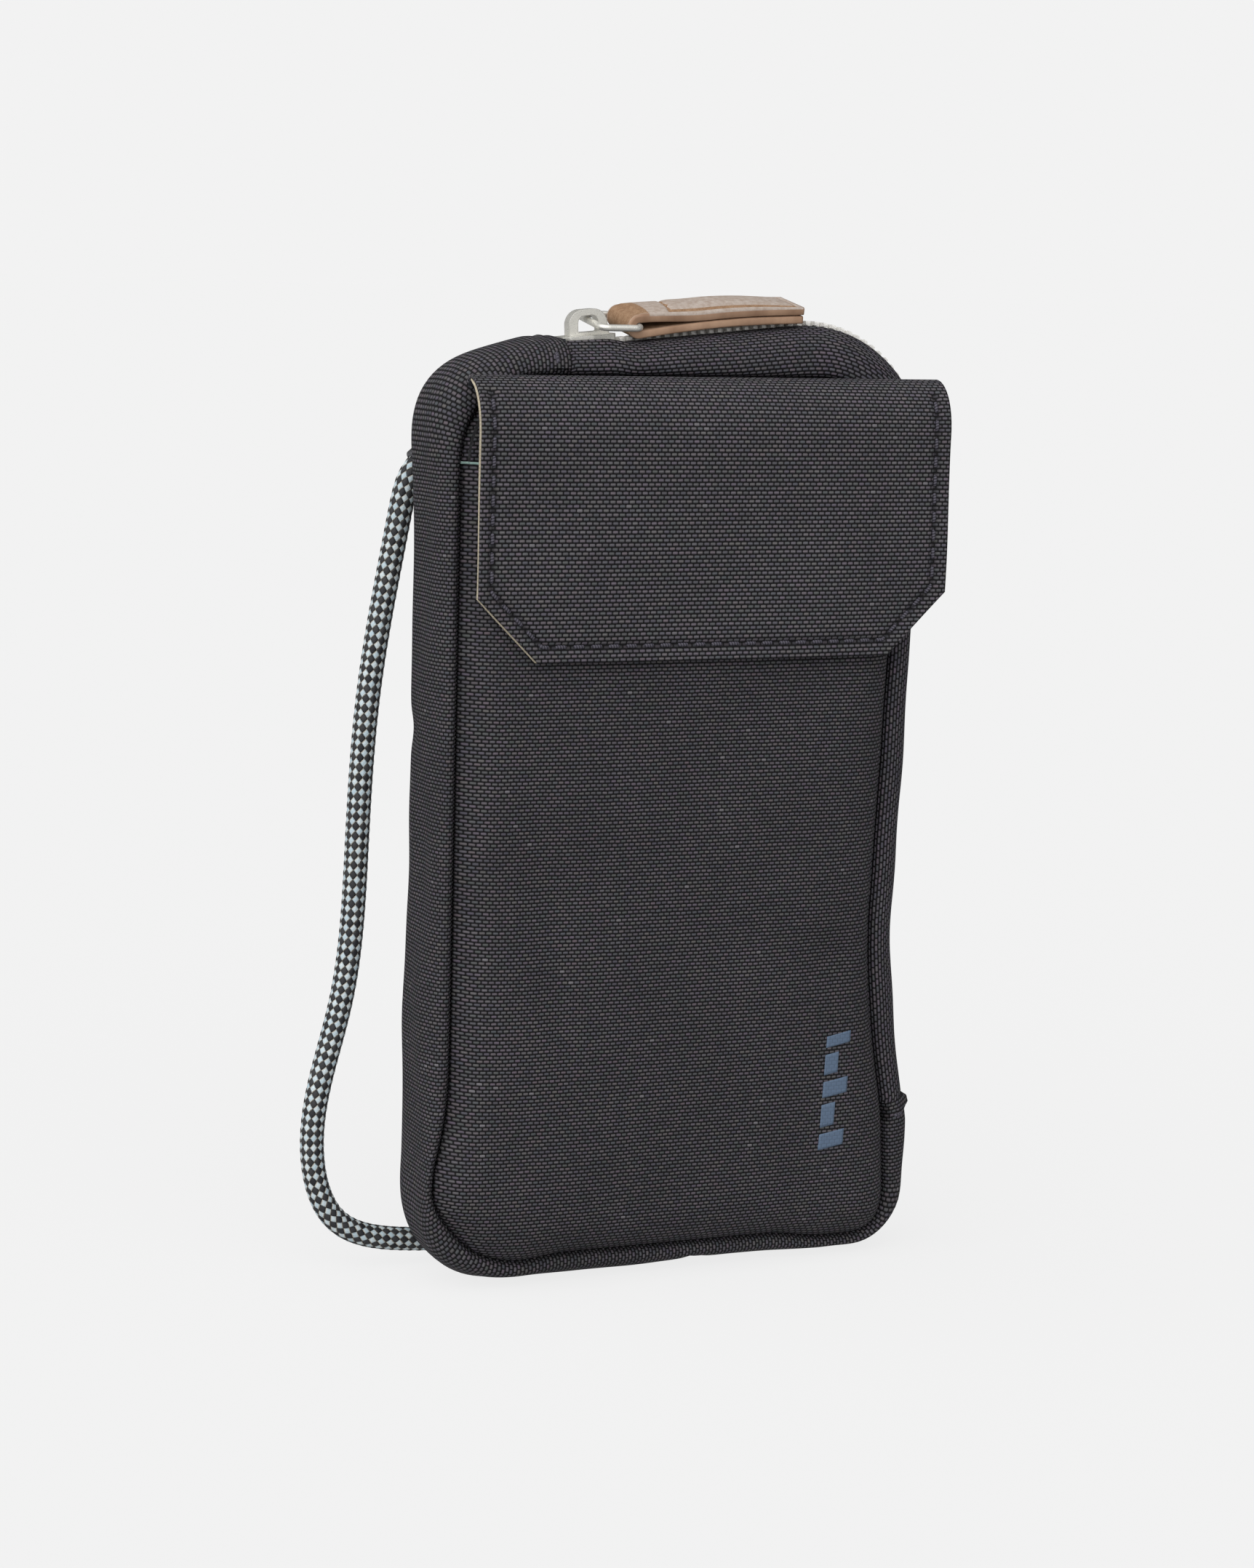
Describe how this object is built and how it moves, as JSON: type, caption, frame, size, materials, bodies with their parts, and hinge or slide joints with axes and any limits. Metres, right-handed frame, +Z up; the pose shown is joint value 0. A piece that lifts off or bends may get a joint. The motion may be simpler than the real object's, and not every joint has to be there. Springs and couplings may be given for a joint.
{
  "type": "zippered pouch",
  "caption": "Slim padded cloth pouch with an L-shaped metal zip, bevelled front flap over a pocket, leather-tabbed slider and a braided carrying cord.",
  "frame": {"origin": "middle of the bottom edge, half way between the front and back seams", "axes": "+X to the right seen from the front, +Y from the front (flap side) to the back (cord side), +Z up to the zipped top"},
  "size_m": [0.1316, 0.0402, 0.2044],
  "materials": {
    "melange_cloth": "plain-woven black melange polyester",
    "lining_cloth": "fine plain-woven lining",
    "foam": "closed-cell padding",
    "binding_tape": "grosgrain seam binding",
    "light_binding": "light turned hem",
    "light_backing": "light raw-edged backing",
    "magnet": "thin closure magnet",
    "zip_tape": "black twill zip tape",
    "zip_metal": "satin nickel",
    "slider_metal": "satin nickel, tumbled",
    "pull_leather": "grey nubuck with tan cut edges",
    "webbing": "black webbing",
    "cord_cap": "matte black",
    "cord_braid": "black and pale diamond braid"
  },
  "bodies": {
    "pouch": {"gusset": "melange_cloth", "gusset_lining": "lining_cloth", "front_panel": "melange_cloth", "front_padding": "foam", "front_lining": "lining_cloth", "back_panel": "melange_cloth", "back_padding": "foam", "back_lining": "lining_cloth", "seam_binding_front": "binding_tape", "seam_binding_back": "binding_tape", "pocket_panel": "melange_cloth", "pocket_hem": "light_binding", "pocket_magnet": "magnet", "zip_tape_front": "zip_tape", "zip_tape_back": "zip_tape", "zip_teeth_front": "zip_metal", "zip_teeth_back": "zip_metal", "zip_top_stops": "zip_metal", "zip_bottom_stop": "zip_metal", "cord_anchor_left": "webbing", "cord_anchor_right": "webbing"},
    "flap": {"flap_panel": "melange_cloth", "flap_backing": "light_backing", "flap_magnet": "magnet"},
    "slider": {"slider": "slider_metal"},
    "ring": {"pull_ring": "slider_metal"},
    "pull": {"pull_leather": "pull_leather"},
    "cord": {"cord": "cord_braid", "cord_end_left": "cord_cap", "cord_end_right": "cord_cap"}
  },
  "joints": [
    {"name": "flap_hinge", "type": "hinge", "parent": "pouch", "child": "flap", "pos_m": [0, -0.0116, 0.188], "axis": [-1, 0, 0], "range_deg": [0, 115]},
    {"name": "slider_travel", "type": "slide", "parent": "pouch", "child": "slider", "axis": [0.9952, 0, 0.0975], "range_m": [0, 0.045], "deforming": ["zip_teeth_front", "zip_teeth_back"]},
    {"name": "ring_hinge", "type": "hinge", "parent": "slider", "child": "ring", "pos_m": [-0.02004, 0, 0.19874], "axis": [0, -0.9848, -0.1736], "range_deg": [0, 110]},
    {"name": "pull_hinge", "type": "hinge", "parent": "ring", "child": "pull", "pos_m": [-0.01124, 0, 0.19874], "axis": [0, -0.9848, -0.1736], "range_deg": [0, 55]},
    {"name": "cord_swing", "type": "hinge", "parent": "pouch", "child": "cord", "pos_m": [0, 0.0164, 0.178], "axis": [1, 0, 0], "range_deg": [0, 170]}
  ]
}
